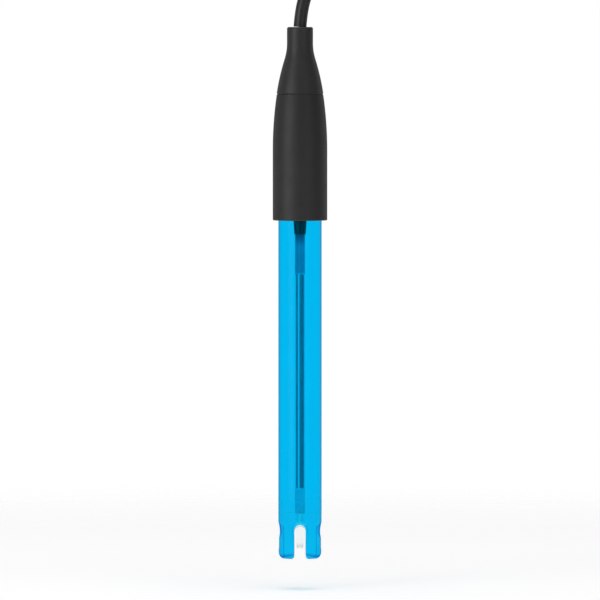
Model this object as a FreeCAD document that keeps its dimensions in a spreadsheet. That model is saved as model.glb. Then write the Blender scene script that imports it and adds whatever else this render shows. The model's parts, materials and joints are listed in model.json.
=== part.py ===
import FreeCAD, Part
import math
import os

import Sketcher

# A laboratory pH electrode on its cable, hanging upright from the coil of its own cable.
# All lengths are millimetres. +Z is up and the probe's axis is Z. The origin is the point under
# the top of the cable coil where a hook holds it. The probe is drawn with its boot's top at 0.

SHEET = "Dims"

# name: (value, what it is)
DIMENSIONS = {
    "shaft_dia": (12.0, "outside of the clear shaft, the size that electrode holders take"),
    "shaft_wall": (1.3, "wall of the clear shaft"),
    "shaft_exposed": (93.7, "from the cap's lower edge to the tip"),
    "shaft_socket": (20.0, "length of the shaft inside the cap"),
    "socket_step": (0.2, "how far the shaft's end in the cap is turned down"),
    "mouth_recess": (0.15, "shallow recess in the cap's mouth for the shaft's shoulder"),
    "tip_round": (2.6, "outer rounding of the guard's tip"),
    "slot_width": (3.1, "width of a guard slot"),
    "slot_height": (9.0, "top of a guard slot above the tip"),
    "scoop_rise": (1.1, "how far the scoop round a slot's top stands outside the slot"),
    "scoop_depth": (1.1, "depth of that scoop into the wall"),
    "slot_corner": (1.0, "rounding where a slot opens at the tip"),
    "cap_skirt": (1.55, "how far the black cap stands outside the shaft"),
    "cap_length": (35.0, "from the seam to the cap's lower edge"),
    "cap_taper": (15.35, "length of the cap's rounded shoulder"),
    "cap_step": (1.15, "how far the cap's hollow is inside the shaft's outside"),
    "cap_edge": (0.3, "rounding of the cap's lower edge"),
    "cap_lip": (2.5, "thickness of the cap's top lip, which the boot snaps into"),
    "shoulder_radius": (107.0, "radius of the cap's long rounded shoulder"),
    "seam_step": (1.1, "how far the seam of boot and cap is inside the cap's outside"),
    "seam_bevel": (0.2, "bevel each side of the seam"),
    "boot_length": (18.5, "from the seam to the boot's top"),
    "boot_radius": (64.0, "radius of the boot's rounded flank"),
    "boot_rim": (0.5, "rounding of the boot's top rim"),
    "neck_wall": (1.8, "wall of the boot's neck round the cable"),
    "neck_length": (4.5, "straight part of the neck"),
    "flare_rise": (0.64, "how far the flare under the neck widens"),
    "flare_length": (4.25, "height of the flare under the neck"),
    "flare_radius": (14.3, "radius of the flare under the neck"),
    "barb_room": (0.25, "space round the boot's barb in the cap's hollow"),
    "lip_hold": (0.65, "how far the barb reaches under the cap's lip"),
    "boot_barb_length": (2.0, "height of the barb"),
    "barb_bevel": (0.6, "bevel that leads the barb in"),
    "ring_section": (1.0, "section of the cap's sealing ring"),
    "ring_height": (3.0, "sealing ring above the cap's lower edge"),
    "cable_dia": (3.6, "outside of the cable"),
    "cable_core_dia": (1.7, "insulated core inside the cable's shield"),
    "clamp_wall": (1.6, "wall of the cable clamp inside the cap"),
    "clamp_length": (3.6, "length of the cable clamp"),
    "potting_length": (5.0, "depth of the potting above the shaft"),
    "potting_cover": (1.0, "potting over the wires' joints"),
    "joint_wall": (0.1, "sleeve round the joint of core and wire"),
    "tube_dia": (2.8, "outside of the inner tube"),
    "tube_wall": (0.3, "wall of the inner tube"),
    "tube_foot": (12.4, "lower end of the inner tube above the tip"),
    "stopper_length": (12.5, "full-width part of the stopper"),
    "stopper_sink": (2.5, "top of the stopper below the shaft's upper end"),
    "nose_wall": (0.2, "wall of the stopper's nose round the inner tube, at its lower end"),
    "nose_flare": (0.57, "growth of that wall up to the nose's root"),
    "nose_drop": (3.9, "stopper's nose below the cap's lower edge"),
    "seal_base": (9.9, "underside of the lower seal above the tip"),
    "seal_length": (2.4, "thickness of the lower seal"),
    "bulb_gap": (0.05, "glue round the bulb's neck in the inner tube"),
    "bulb_wall": (0.3, "wall of the glass bulb"),
    "bulb_foot": (2.2, "lowest point of the bulb above the tip"),
    "bulb_overlap": (2.5, "length of the bulb's neck inside the inner tube"),
    "element_gap": (0.15, "gap round the dark silver chloride element in the inner tube"),
    "element_foot": (19.3, "lower end of the element above the tip"),
    "element_length": (59.4, "length of the element"),
    "wire_dia": (0.4, "silver lead wires"),
    "reference_offset": (3.0, "reference wire and junction off the axis"),
    "reference_dip": (3.6, "reference wire below the stopper's full width"),
    "junction_dia": (0.7, "porous junction in the lower seal"),
    "junction_stand": (0.4, "junction out of the seal at each end"),
    "gel_space": (0.6, "space left over the gel, under the stopper"),
    "coil_height": (74.6, "centre of the cable coil above the boot's top"),
    "coil_radius": (21.6, "middle of the coil's turns"),
    "bundle_dia": (10.8, "the coil's turns lying together"),
    "tie_wall": (0.9, "thickness of the cable tie"),
    "tie_arc": (38.0, "degrees of the coil that the tie covers"),
    "plug_drop": (55.5, "top of the plug's boot above the probe boot's top"),
    "plug_side": (24.7, "plug's axis to the left of the probe's axis"),
    "plug_front": (2.0, "plug's axis in front of the probe's axis"),
    "plug_boot_length": (21.8, "length of the plug's boot"),
    "plug_boot_taper": (15.2, "length of the boot's tapered part"),
    "plug_boot_wall": (1.1, "wall of the plug's boot round the cable"),
    "plug_barrel_dia": (8.0, "plug's barrel, and the foot of its boot"),
    "ferrule_grip": (0.15, "crimp ferrule's bore round the cable's outside"),
    "ferrule_start": (8.0, "top of the ferrule below the boot's top"),
    "ferrule_wall": (0.5, "wall of the crimp ferrule"),
    "spigot_dia": (2.6, "spigot under the cable's shield"),
    "spigot_start": (11.0, "top of that spigot below the boot's top"),
    "flange_dia": (11.2, "plug's rear flange"),
    "flange_length": (3.8, "thickness of the rear flange"),
    "barrel_length": (4.2, "plug's barrel behind the flange"),
    "journal_dia": (8.1, "plug's neck that the coupling nut turns on"),
    "contact_dia": (8.0, "outside of the outer contact"),
    "contact_bore": (7.0, "inside of the outer contact"),
    "contact_length": (13.2, "from the rear flange to the outer contact's mouth"),
    "contact_taper": (0.1, "how far the outer contact draws in to its mouth"),
    "contact_slit": (0.4, "width of the slits that spring the outer contact"),
    "insulator_front": (8.2, "insulator's face below the rear flange"),
    "insulator_nose": (1.6, "height of the insulator's nose"),
    "insulator_nose_dia": (4.8, "outside of that nose"),
    "pin_dia": (1.36, "centre pin"),
    "pin_reach": (12.2, "centre pin's tip below the rear flange"),
    "nut_bore": (9.8, "bore of the coupling nut, which takes the socket's body"),
    "nut_wall": (2.3, "wall of the coupling nut"),
    "nut_length": (14.0, "length of the coupling nut"),
    "nut_flange": (2.0, "thickness of the nut's rear flange"),
    "nut_grip": (9.0, "length of the nut's ribbed grip"),
    "nut_edge": (0.3, "bevel of the nut's edges"),
    "rib_dia": (1.8, "round ribs of the grip"),
    "nut_play": (0.1, "gap behind and in front of the nut's rear flange"),
    "lug_slot": (2.2, "width of the slots for the socket's lugs"),
    "lug_depth": (0.7, "depth of those slots in the nut's bore"),
    "lug_height": (5.6, "middle of the latch holes above the nut's mouth"),
    "washer_thickness": (0.5, "thrust washer"),
    "spring_pressed": (0.7, "wave spring when the nut is drawn right forward"),
    "spring_thickness": (0.35, "wave spring's strip"),
    "nut_travel": (0.8, "how far the nut draws forward against the spring"),
    "retainer_thickness": (0.6, "retaining ring"),
    "retainer_seat": (0.3, "depth of the retaining ring's groove"),
    "retainer_gap": (1.0, "gap where the retaining ring is open"),
    "gasket_length": (1.2, "height of the gasket"),
    "running_gap": (0.08, "radial clearance of the nut on its neck"),
    "fit_gap": (0.03, "radial clearance of what is glued or pushed together"),
    "ring_gap": (0.12, "radial clearance of washers and rings inside the nut"),
}

# The free cable from the boot's top to the coil, and from the coil to the plug: points of the
# route, each as x, y and height above the boot's top.
LEAD_ROUTE = [
    (0.0, 0.0, 0.0),
    (0.3, 0.0, 4.0),
    (1.6, 0.0, 9.3),
    (5.0, 0.2, 16.4),
    (10.4, 0.5, 24.6),
    (15.4, 0.9, 34.2),
    (19.6, 1.3, 44.6),
    (22.6, 1.6, 56.0),
    (24.4, 1.8, 67.6),
]
TAIL_ROUTE = [
    (-24.5, -1.8, 70.2),
    (-25.0, -1.9, 62.8),
    (-24.7, -2.0, 55.5),
]
RUN_SHARE = 0.45  # how much of the shorter run beside a point its arc takes

SLOTS = 4  # guard slots, and slits in the outer contact
RIBS = 12  # ribs round the nut's grip
WAVES = 3  # waves round the wave spring
WAVE_STEPS = 36  # points round each edge of the wave spring
OVERCUT = 1.2  # how much a cutter stands out of what it cuts


class Size:
    """A length that knows its value and the expression that the document keeps for it."""

    def __init__(self, value, text):
        self.value = value
        self.text = text

    def __add__(self, other):
        return joined(self, "+", other, self.value + number(other))

    def __sub__(self, other):
        return joined(self, "-", other, self.value - number(other))

    def __mul__(self, other):
        return joined(self, "*", other, self.value * number(other))

    def __truediv__(self, other):
        return joined(self, "/", other, self.value / number(other))

    def __neg__(self):
        return Size(-self.value, f"-({self.text})")


def number(item):
    return item.value if isinstance(item, Size) else float(item)


def words(item):
    return item.text if isinstance(item, Size) else f"{item:g}"


def joined(left, sign, right, value):
    return Size(value, f"({words(left)} {sign} {words(right)})")


def size(name):
    return Size(DIMENSIONS[name][0], f"{SHEET}.{name}")


def bind(thing, path, length):
    """Sets a property of a document object to a size, and keeps the size's expression on it."""
    thing.setExpression(path, words(length))


# ---- the document ----------------------------------------------------------------------------

doc = FreeCAD.newDocument("ph_electrode")
parts = []


def fill_sheet():
    sheet = doc.addObject("Spreadsheet::Sheet", SHEET)
    for row, (name, (value, note)) in enumerate(DIMENSIONS.items(), start=1):
        sheet.set(f"A{row}", name)
        sheet.set(f"B{row}", f"{value:g}")
        sheet.setAlias(f"B{row}", name)
        sheet.set(f"C{row}", note)
    doc.recompute()


fill_sheet()

# Places that several pieces share. Heights are counted from the top of the probe's boot.
cable_r = size("cable_dia") / 2
shaft_r = size("shaft_dia") / 2
cap_r = shaft_r + size("cap_skirt")
seam_r = cap_r - size("seam_step")
bore_r = shaft_r - size("shaft_wall")
shaft_end_r = shaft_r - size("socket_step")
socket_r = shaft_end_r + size("fit_gap")
cap_foot = -(size("boot_length") + size("cap_length"))
tip = cap_foot - size("shaft_exposed")
shaft_top = cap_foot + size("shaft_socket")
shoulder = cap_foot + size("mouth_recess")
tube_r = size("tube_dia") / 2
tube_bore_r = tube_r - size("tube_wall")
stopper_top = shaft_top - size("stopper_sink")
stopper_foot = stopper_top - size("stopper_length")
nose_r = tube_r + size("nose_wall")
nose_root_r = nose_r + size("nose_flare")
nose_foot = cap_foot - size("nose_drop")
seal_foot = tip + size("seal_base")
seal_top = seal_foot + size("seal_length")
tube_foot = tip + size("tube_foot")
bulb_r = tube_bore_r - size("bulb_gap")
bulb_foot = tip + size("bulb_foot")
element_foot = tip + size("element_foot")
element_top = element_foot + size("element_length")
wire_r = size("wire_dia") / 2
fit = size("fit_gap")
barb_foot = -(size("boot_length") + size("cap_lip") + size("boot_barb_length"))
clamp_foot = barb_foot - size("clamp_length")
hollow_r = shaft_r - size("cap_step")
barb_r = hollow_r - size("barb_room")
lip_bore_r = barb_r - size("lip_hold") + size("fit_gap")
potting_top = shaft_top + size("potting_length")
core_foot = potting_top - size("potting_cover")
hang_drop = size("coil_height") + size("coil_radius") - size("bundle_dia") / 2

# Heights on the plug are counted down from the top of its boot.
flange_top = -(size("plug_boot_length") + size("barrel_length"))
flange_foot = flange_top - size("flange_length")
nut_top = flange_foot - size("nut_play")
nut_foot = nut_top - size("nut_length")
washer_top = nut_top - size("nut_flange") - size("nut_play")
spring_top = washer_top - size("washer_thickness")
spring_height = size("nut_travel") + size("spring_pressed")
spring_foot = spring_top - spring_height
retainer_foot = spring_foot - size("retainer_thickness")
gasket_foot = retainer_foot - size("gasket_length")
journal_r = size("journal_dia") / 2
contact_r = size("contact_dia") / 2
contact_bore_r = size("contact_bore") / 2
contact_foot = flange_foot - size("contact_length")
insulator_foot = flange_foot - size("insulator_front")
nut_bore_r = size("nut_bore") / 2
spigot_top = -size("spigot_start")

# Where each group of pieces stands in the model: x, y and z of its own zero.
PROBE = (None, None, -hang_drop)
PLUG = (-size("plug_side"), -size("plug_front"), size("plug_drop") - hang_drop)
COIL = (None, None, size("coil_height") - hang_drop)


# ---- sketches and features -------------------------------------------------------------------


def new_body(name, place):
    body = doc.addObject("PartDesign::Body", name)
    body.Label = name
    for axis, shift in zip("xyz", place):
        if shift is not None:
            bind(body, f"Placement.Base.{axis}", shift)
    parts.append(body)
    return body


def origin_part(body, role):
    return [item for item in body.Origin.OriginFeatures if item.Role == role][0]


def new_sketch(body, name, plane, offset=None):
    sketch = body.newObject("Sketcher::SketchObject", name)
    sketch.AttachmentSupport = [(origin_part(body, plane), "")]
    sketch.MapMode = "FlatFace"
    if offset is not None:
        bind(sketch, "AttachmentOffset.Base.z", offset)
    return sketch


def pin_point(sketch, edge, end, x, y):
    """Holds one end of an edge at x, y, each a size or a plain 0."""
    for kind, axis, value in (("DistanceX", -2, x), ("DistanceY", -1, y)):
        if isinstance(value, Size):
            row = sketch.addConstraint(Sketcher.Constraint(kind, -1, 1, edge, end, value.value))
            bind(sketch, f"Constraints[{row}]", value)
        else:
            sketch.addConstraint(Sketcher.Constraint("PointOnObject", edge, end, axis))


def arc_between(start, stop, radius):
    """The shorter arc from start to stop: a positive radius turns left, a negative one right."""
    chord = stop - start
    reach = abs(radius)
    rise = math.sqrt(reach ** 2 - (chord.Length / 2) ** 2)
    left = FreeCAD.Vector(-chord.y, chord.x, 0).normalize()
    centre = (start + stop) * 0.5 + left * math.copysign(rise, radius)
    first, last = (start, stop) if radius > 0 else (stop, start)
    angles = [math.atan2(p.y - centre.y, p.x - centre.x) for p in (first, last)]
    circle = Part.Circle(centre, FreeCAD.Vector(0, 0, 1), reach)
    return Part.ArcOfCircle(circle, angles[0], angles[1])


def draw_outline(sketch, outline):
    """Draws a closed outline. An entry is (x, y), or (x, y, radius, turn) where the edge that
    arrives there is an arc, with turn 1 for left and -1 for right."""
    points = [FreeCAD.Vector(number(entry[0]), number(entry[1]), 0) for entry in outline]
    ends = []
    for i, entry in enumerate(outline):
        j = (i + 1) % len(outline)
        arriving = outline[j]
        if len(arriving) == 2:
            edge = sketch.addGeometry(Part.LineSegment(points[i], points[j]), False)
            ends.append((edge, 1, 2))
            continue
        radius, turn = arriving[2], arriving[3]
        edge = sketch.addGeometry(arc_between(points[i], points[j], turn * radius.value), False)
        row = sketch.addConstraint(Sketcher.Constraint("Radius", edge, radius.value))
        bind(sketch, f"Constraints[{row}]", radius)
        ends.append((edge, 1, 2) if turn > 0 else (edge, 2, 1))
    for i, (edge, start, stop) in enumerate(ends):
        following, first, _ = ends[(i + 1) % len(ends)]
        sketch.addConstraint(Sketcher.Constraint("Coincident", edge, stop, following, first))
        pin_point(sketch, edge, start, outline[i][0], outline[i][1])


def draw_circle(sketch, x, y, radius):
    centre = FreeCAD.Vector(number(x), number(y), 0)
    edge = sketch.addGeometry(Part.Circle(centre, FreeCAD.Vector(0, 0, 1), radius.value), False)
    row = sketch.addConstraint(Sketcher.Constraint("Radius", edge, radius.value))
    bind(sketch, f"Constraints[{row}]", radius)
    pin_point(sketch, edge, 3, x, y)


def revolve(body, sketch, name="Turned", axis="V_Axis"):
    feature = body.newObject("PartDesign::Revolution", name)
    feature.Profile = sketch
    feature.ReferenceAxis = (sketch, [axis])
    feature.Angle = 360
    sketch.Visibility = False
    return feature


def turned(name, place, outline):
    """A piece turned about its own vertical axis, from its half outline as (radius, height)."""
    body = new_body(name, place)
    sketch = new_sketch(body, "HalfOutline", "XZ_Plane")
    draw_outline(sketch, outline)
    revolve(body, sketch)
    return body


def sleeve(name, place, inner, outer, foot, top):
    """A plain sleeve between two radii and two heights; inner 0 makes it a solid rod."""
    return turned(name, place, [(inner, foot), (outer, foot), (outer, top), (inner, top)])


def cut(body, sketch, name, way, depth=None):
    """Cuts a sketch out of the body: way is "both" through all of it, or "up" or "down" from the
    sketch, right through or to a depth."""
    doc.recompute()
    before = body.Shape.Volume
    pocket = body.newObject("PartDesign::Pocket", name)
    pocket.Profile = sketch
    pocket.Type = "ThroughAll" if depth is None else "Length"
    if depth is not None:
        bind(pocket, "Length", depth)
    if way == "both":
        pocket.SideType = "Symmetric"
    pocket.Reversed = way == "up"
    body.Tip = pocket
    doc.recompute()
    if not body.Shape.Volume < before:
        raise RuntimeError(f"{body.Label}: {name} cut nothing")
    return pocket


def repeat_round(body, feature, count, name):
    """Repeats a feature round the body's vertical axis."""
    pattern = body.newObject("PartDesign::PolarPattern", name)
    pattern.Originals = [feature]
    pattern.Axis = (origin_part(body, "Z_Axis"), [""])
    pattern.Angle = 360
    pattern.Occurrences = count
    body.Tip = pattern
    return pattern


def drill(body, name, x, y, radius):
    """A hole along the vertical axis through the whole piece."""
    sketch = new_sketch(body, f"{name}Outline", "XY_Plane")
    draw_circle(sketch, x, y, radius)
    cut(body, sketch, name, "both")


# ---- the probe -------------------------------------------------------------------------------


def make_boot():
    """Soft strain relief: neck, flare and rounded flank down to the seam, and a barbed spigot."""
    neck_r = cable_r + size("neck_wall")
    flare_r = neck_r + size("flare_rise")
    flare_foot = -(size("neck_length") + size("flare_length"))
    bore = cable_r + fit
    foot = -size("boot_length")
    bevel = size("seam_bevel")
    lip_foot = foot - size("cap_lip") - fit
    turned("strain_relief_boot", PROBE, [
        (bore, 0),
        (neck_r - size("boot_rim"), 0),
        (neck_r, -size("boot_rim"), size("boot_rim"), -1),
        (neck_r, -size("neck_length")),
        (flare_r, flare_foot, size("flare_radius"), 1),
        (seam_r, foot + bevel, size("boot_radius"), -1),
        (seam_r - bevel, foot),
        (lip_bore_r - fit, foot),
        (lip_bore_r - fit, lip_foot),
        (barb_r, lip_foot),
        (barb_r - size("barb_bevel"), barb_foot),
        (bore, barb_foot),
    ])


def make_cap():
    """Hard black cap: rounded shoulder, lip for the boot, hollow, shaft socket and ring groove."""
    bevel = size("seam_bevel")
    top = -size("boot_length")
    edge = size("cap_edge")
    groove_r = shaft_end_r + size("ring_section")
    groove_foot = cap_foot + size("ring_height") - size("ring_section") / 2 - fit
    groove_top = groove_foot + size("ring_section") + fit * 2
    turned("cap_body", PROBE, [
        (lip_bore_r, top),
        (seam_r - bevel, top),
        (seam_r, top - bevel),
        (cap_r, top - size("cap_taper"), size("shoulder_radius"), -1),
        (cap_r, cap_foot + edge),
        (cap_r - edge, cap_foot, edge, -1),
        (shaft_r + fit, cap_foot),
        (shaft_r + fit, shoulder),
        (socket_r, shoulder),
        (socket_r, groove_foot),
        (groove_r, groove_foot),
        (groove_r, groove_top),
        (socket_r, groove_top),
        (socket_r, shaft_top + fit),
        (hollow_r, shaft_top + fit),
        (hollow_r, top - size("cap_lip")),
        (lip_bore_r, top - size("cap_lip")),
    ])


def make_cap_ring():
    body = new_body("cap_seal_ring", PROBE)
    section_r = size("ring_section") / 2
    sketch = new_sketch(body, "Section", "XZ_Plane")
    draw_circle(sketch, shaft_end_r + section_r, cap_foot + size("ring_height"), section_r)
    revolve(body, sketch)


def make_shaft():
    """Clear shaft tube with four open slots at its tip, which leave the guard's four prongs."""
    half_wall = size("shaft_wall") / 2
    body = turned("shaft_body", PROBE, [
        (bore_r, tip + half_wall),
        (bore_r + half_wall, tip, half_wall, 1),
        (shaft_r, tip + size("tip_round"), size("tip_round"), 1),
        (shaft_r, shoulder - fit),
        (shaft_end_r, shoulder - fit),
        (shaft_end_r, shaft_top),
        (bore_r, shaft_top),
    ])
    half_slot = size("slot_width") / 2
    corner = size("slot_corner")
    crown = tip + size("slot_height") - half_slot
    sketch = new_sketch(body, "SlotOutline", "XZ_Plane")
    draw_outline(sketch, [
        (half_slot, crown),
        (0, crown + half_slot, half_slot, 1),
        (-half_slot, crown, half_slot, 1),
        (-half_slot, tip + corner),
        (-half_slot - corner, tip, corner, -1),
        (-half_slot - corner, tip - corner),
        (half_slot + corner, tip - corner),
        (half_slot + corner, tip),
        (half_slot, tip + corner, corner, -1),
    ])
    slot = cut(body, sketch, "Slot", "both")
    repeat_round(body, slot, SLOTS, "Slots")
    scoop = body.newObject("PartDesign::SubtractiveCone", "Scoop")
    scoop.AttachmentSupport = [(origin_part(body, "XZ_Plane"), "")]
    scoop.MapMode = "FlatFace"
    bind(scoop, "AttachmentOffset.Base.y", crown)
    bind(scoop, "AttachmentOffset.Base.z", shaft_r - size("scoop_depth"))
    bind(scoop, "Radius1", half_slot)
    bind(scoop, "Radius2", half_slot + size("scoop_rise") * OVERCUT)
    bind(scoop, "Height", size("scoop_depth") * OVERCUT)
    repeat_round(body, scoop, SLOTS, "Scoops")


def make_stopper():
    """Black stopper in the shaft's bore, with a tapered nose round the inner tube."""
    inner = tube_r + fit
    body = turned("stem_stopper", PROBE, [
        (inner, nose_foot),
        (nose_r, nose_foot),
        (nose_root_r, stopper_foot),
        (bore_r - fit, stopper_foot),
        (bore_r - fit, stopper_top),
        (inner, stopper_top),
    ])
    drill(body, "ReferenceHole", size("reference_offset"), 0, wire_r + fit)


def make_inner_tube():
    sleeve("inner_tube", PROBE, tube_bore_r, tube_r, tube_foot, stopper_top)


def make_bulb():
    """Glass bulb: a thin neck glued into the inner tube, closed by a round end."""
    inner = bulb_r - size("bulb_wall")
    top = tube_foot + size("bulb_overlap")
    turned("glass_bulb", PROBE, [
        (0, bulb_foot),
        (bulb_r, bulb_foot + bulb_r, bulb_r, 1),
        (bulb_r, top),
        (inner, top),
        (inner, bulb_foot + bulb_r),
        (0, bulb_foot + size("bulb_wall"), inner, -1),
    ])


def make_buffer():
    """Buffer liquid in the bulb and the foot of the inner tube, up to the element."""
    inner = bulb_r - size("bulb_wall") - fit
    neck_top = tube_foot + size("bulb_overlap") + fit
    turned("inner_buffer", PROBE, [
        (0, bulb_foot + size("bulb_wall") + fit),
        (inner, bulb_foot + bulb_r, inner, 1),
        (inner, neck_top),
        (tube_bore_r - fit, neck_top),
        (tube_bore_r - fit, element_foot - fit),
        (0, element_foot - fit),
    ])


def make_element():
    """Silver chloride element, pointed a little at both ends, on its silver wire."""
    element_r = tube_bore_r - size("element_gap")
    point = element_r / 2
    turned("inner_element", PROBE, [
        (0, element_foot),
        (element_r - point, element_foot),
        (element_r, element_foot + point),
        (element_r, element_top - point),
        (element_r - point, element_top),
        (0, element_top),
    ])


def make_wires():
    sleeve("signal_wire", PROBE, 0, wire_r, element_top, shaft_top + fit)
    reference = new_body("reference_wire", PROBE)
    foot = stopper_foot - size("reference_dip")
    sketch = new_sketch(reference, "Section", "XY_Plane", foot)
    draw_circle(sketch, size("reference_offset"), 0, wire_r)
    rod = reference.newObject("PartDesign::Pad", "Rod")
    rod.Profile = sketch
    bind(rod, "Length", core_foot - foot)


def make_gel():
    """Reference gel between the shaft's bore and the inner tube, from the seal to the stopper."""
    top = stopper_foot - size("gel_space")
    body = turned("reference_gel", PROBE, [
        (tube_r + fit, seal_top + fit),
        (bore_r - fit, seal_top + fit),
        (bore_r - fit, top),
        (nose_root_r + fit, top),
        (nose_r + fit, nose_foot - fit),
        (tube_r + fit, nose_foot - fit),
    ])
    wire_foot = stopper_foot - size("reference_dip") - fit
    sketch = new_sketch(body, "WireOutline", "XY_Plane", wire_foot)
    draw_circle(sketch, size("reference_offset"), 0, wire_r + fit)
    cut(body, sketch, "WireSocket", "up")
    junction_top = seal_top + size("junction_stand") + fit
    sketch = new_sketch(body, "JunctionOutline", "XY_Plane", junction_top)
    draw_circle(sketch, 0, size("reference_offset"), size("junction_dia") / 2 + fit)
    cut(body, sketch, "JunctionSocket", "down")


def make_seal():
    """Clear seal that closes the foot of the shaft round the bulb's neck and the junction."""
    body = turned("lower_seal", PROBE, [
        (bulb_r + fit, seal_foot),
        (bore_r - fit, seal_foot),
        (bore_r - fit, seal_top),
        (tube_r + fit, seal_top),
        (tube_r + fit, tube_foot - fit),
        (bulb_r + fit, tube_foot - fit),
    ])
    drill(body, "JunctionHole", 0, size("reference_offset"), size("junction_dia") / 2 + fit)


def make_junction():
    body = new_body("reference_junction", PROBE)
    stand = size("junction_stand")
    sketch = new_sketch(body, "Section", "XY_Plane", seal_foot - stand)
    draw_circle(sketch, 0, size("reference_offset"), size("junction_dia") / 2)
    rod = body.newObject("PartDesign::Pad", "Plug")
    rod.Profile = sketch
    bind(rod, "Length", size("seal_length") + stand * 2)


def make_cable_end():
    """Cable inside the boot and cap: jacket, core, joint, clamp and the potting round them."""
    jacket_foot = clamp_foot
    core_r = size("cable_core_dia") / 2
    turned("cable_in_cap", PROBE, [
        (0, core_foot),
        (core_r, core_foot),
        (core_r, jacket_foot),
        (cable_r, jacket_foot),
        (cable_r, 0),
        (0, 0),
    ])
    clamp_r = cable_r + size("clamp_wall")
    sleeve("cable_clamp", PROBE, cable_r + fit, clamp_r, clamp_foot, barb_foot - fit)
    joint_r = core_r + size("joint_wall")
    sleeve("core_joint", PROBE, 0, joint_r, shaft_top + fit * 2, core_foot - fit)
    foot = shaft_top + fit * 2
    body = turned("potting_plug", PROBE, [
        (joint_r + fit, foot),
        (hollow_r - fit, foot),
        (hollow_r - fit, potting_top),
        (joint_r + fit, potting_top),
    ])
    drill(body, "WireHole", size("reference_offset"), 0, wire_r + fit)


# ---- the cable -------------------------------------------------------------------------------


def route_wire(points):
    """Straight runs joined by tangent arcs, each as large as its two runs allow. Returns the
    wire and the arcs' radii."""
    edges = []
    radii = []
    here = points[0]
    for before, corner, after in zip(points, points[1:], points[2:]):
        towards = (before - corner).normalize()
        away = (after - corner).normalize()
        turn = math.pi - towards.getAngle(away)
        reach = RUN_SHARE * min((before - corner).Length, (after - corner).Length)
        radius = reach / math.tan(turn / 2)
        start = corner + towards * reach
        stop = corner + away * reach
        inwards = (towards + away).normalize()
        middle = corner + inwards * (math.hypot(reach, radius) - radius)
        edges.append(Part.LineSegment(here, start).toShape())
        edges.append(Part.Arc(start, middle, stop).toShape())
        radii.append(radius)
        here = stop
    edges.append(Part.LineSegment(here, points[-1]).toShape())
    return Part.Wire(edges), radii


def make_cable(name, route):
    """A stretch of free cable: its section swept along its route."""
    points = [FreeCAD.Vector(*point) for point in route]
    wire, radii = route_wire(points)
    start = wire.OrderedEdges[0]
    heading = start.tangentAt(start.FirstParameter)
    section = Part.Wire(Part.Circle(points[0], heading, cable_r.value).toShape())
    tube = wire.makePipeShell([section], True, False)
    cable = doc.addObject("Part::Feature", name)
    cable.Label = name
    cable.Shape = tube
    cable.Placement = FreeCAD.Placement(FreeCAD.Vector(0, 0, -hang_drop.value), FreeCAD.Rotation())
    parts.append(cable)
    expected = math.pi * cable_r.value ** 2 * wire.Length
    print(f"{name}: length {wire.Length:.1f}, volume {tube.Volume:.0f} of {expected:.0f},",
          "radii", " ".join(f"{radius:.0f}" for radius in radii))


def make_coil():
    """The put-away cable: a neat round coil, closed as one solid, and the tie round its foot."""
    bundle_r = size("bundle_dia") / 2
    coil = new_body("cable_coil", COIL)
    sketch = new_sketch(coil, "Bundle", "XY_Plane")
    draw_circle(sketch, size("coil_radius"), 0, bundle_r)
    revolve(coil, sketch)
    tie = new_body("cable_tie", COIL)
    sketch = new_sketch(tie, "Strap", "YZ_Plane")
    draw_circle(sketch, 0, -size("coil_radius"), bundle_r + fit)
    draw_circle(sketch, 0, -size("coil_radius"), bundle_r + fit + size("tie_wall"))
    strap = revolve(tie, sketch, "Strap", "H_Axis")
    strap.Midplane = True
    bind(strap, "Angle", size("tie_arc"))


# ---- the plug --------------------------------------------------------------------------------


def make_plug_boot():
    """Tapered strain relief over the crimp ferrule."""
    top_r = cable_r + size("plug_boot_wall")
    foot_r = size("plug_barrel_dia") / 2
    ferrule_r = cable_r + size("ferrule_grip") + size("ferrule_wall") + fit
    turned("plug_boot", PLUG, [
        (cable_r + fit, 0),
        (top_r - size("boot_rim"), 0),
        (top_r, -size("boot_rim"), size("boot_rim"), -1),
        (foot_r, -size("plug_boot_taper")),
        (foot_r, -size("plug_boot_length")),
        (ferrule_r, -size("plug_boot_length")),
        (ferrule_r, -size("ferrule_start") + fit),
        (cable_r + fit, -size("ferrule_start") + fit),
    ])


def make_plug_cable():
    """Cable inside the plug: jacket, core, braid turned over the spigot, and the crimp ferrule."""
    core_r = size("cable_core_dia") / 2
    spigot_r = size("spigot_dia") / 2
    ferrule_bore = cable_r + size("ferrule_grip")
    ferrule_r = ferrule_bore + size("ferrule_wall")
    ferrule_foot = -size("plug_boot_length") + fit
    turned("cable_in_plug", PLUG, [
        (0, flange_top),
        (core_r, flange_top),
        (core_r, spigot_top + fit),
        (cable_r, spigot_top + fit),
        (cable_r, 0),
        (0, 0),
    ])
    sleeve("shield_braid", PLUG, spigot_r + fit, ferrule_bore - fit, ferrule_foot, spigot_top)
    sleeve("crimp_ferrule", PLUG, ferrule_bore, ferrule_r, ferrule_foot, -size("ferrule_start"))


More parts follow.
